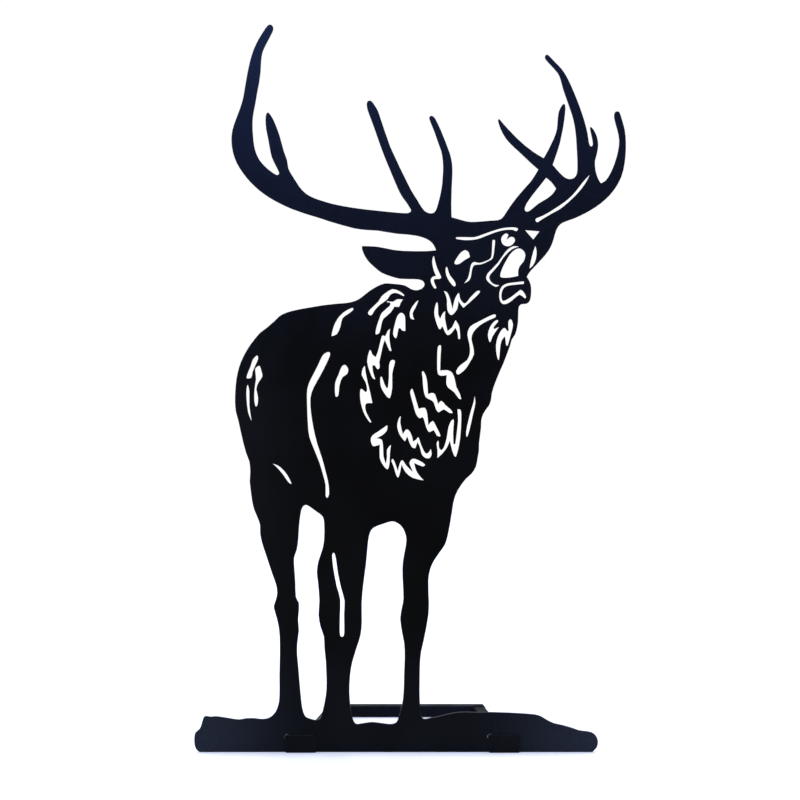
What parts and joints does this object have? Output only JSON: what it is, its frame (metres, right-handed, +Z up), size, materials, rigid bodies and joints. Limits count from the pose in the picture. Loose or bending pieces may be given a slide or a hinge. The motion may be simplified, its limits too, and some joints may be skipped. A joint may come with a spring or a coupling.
{
  "type": "stag silhouette statue",
  "caption": "Bellowing stag cut as a silhouette from flat sheet steel, with pierced fur and face lines, on a strip of ground with a welded foot frame behind it.",
  "frame": {"origin": "middle of the footprint's bounding box, on the ground", "axes": "+Z up, -Y the way the sheet's front faces, +X the way the stag's muzzle and front leg point, which is right in the picture"},
  "size_m": [0.7121, 0.2592, 1.2],
  "materials": {
    "sheet_paint": "satin black paint on sheet steel",
    "bar_paint": "satin black paint on square steel bar",
    "foot_paint": "satin black paint on steel plates"
  },
  "bodies": {
    "root": {"stag_sheet": "sheet_paint", "rear_bar": "bar_paint", "side_bar_left": "bar_paint", "side_bar_right": "bar_paint", "front_foot_left": "foot_paint", "front_foot_right": "foot_paint"}
  },
  "joints": []
}
